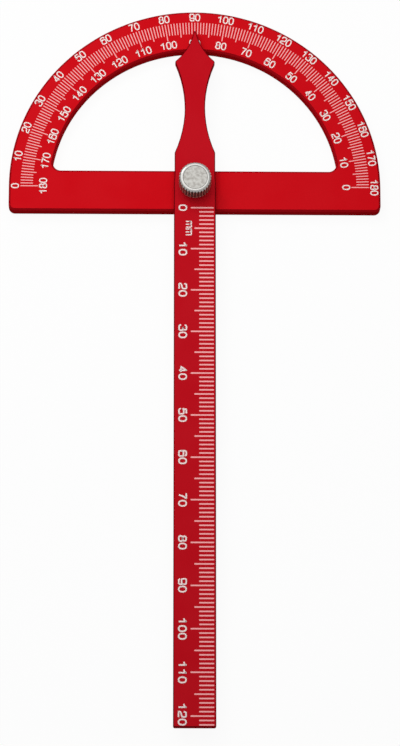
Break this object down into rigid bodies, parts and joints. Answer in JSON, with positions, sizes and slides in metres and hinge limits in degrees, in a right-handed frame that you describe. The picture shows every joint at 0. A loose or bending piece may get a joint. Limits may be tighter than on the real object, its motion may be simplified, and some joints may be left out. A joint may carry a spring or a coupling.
{
  "type": "bevel protractor",
  "caption": "Half-round protractor head with a window and a rule blade that swings on a knurled lock nut.",
  "frame": {"origin": "on the blade's pivot axis, in the plane of the head's back face", "axes": "+Z out of the scale faces, +Y along the pointer at rest (the 90 degree mark), +X towards the end of the outer scale's 180"},
  "size_m": [0.0874, 0.1721, 0.0105],
  "materials": {
    "red_anodised": "satin red anodising",
    "red_anodised_blade": "satin red anodising",
    "steel": "plain turned steel",
    "polymer": "smooth sheet",
    "white_ink": "screen-printed white ink of the scales",
    "nickel": "bright nickel plating, turned and knurled"
  },
  "bodies": {
    "head": {"protractor_plate": "red_anodised", "pivot_stud": "steel", "slip_washer": "polymer"},
    "blade": {"rule_blade": "red_anodised_blade"},
    "captive_washer": {"clamp_washer": "steel"},
    "nut": {"thumb_nut": "nickel"}
  },
  "joints": [
    {"name": "blade_swing", "type": "hinge", "parent": "head", "child": "blade", "pos_m": [0, 0, 0], "axis": [0, 0, 1], "continuous": true},
    {"name": "nut_lift", "type": "slide", "parent": "head", "child": "captive_washer", "axis": [0, 0, 1], "range_m": [0, 0.0005]},
    {"name": "nut_turn", "type": "hinge", "parent": "captive_washer", "child": "nut", "pos_m": [0, 0, 0], "axis": [0, 0, 1], "range_deg": [0, 360]}
  ],
  "couplings": [
    {"joint": "nut_turn", "follows": "nut_lift", "rad_per_m": 12566}
  ]
}
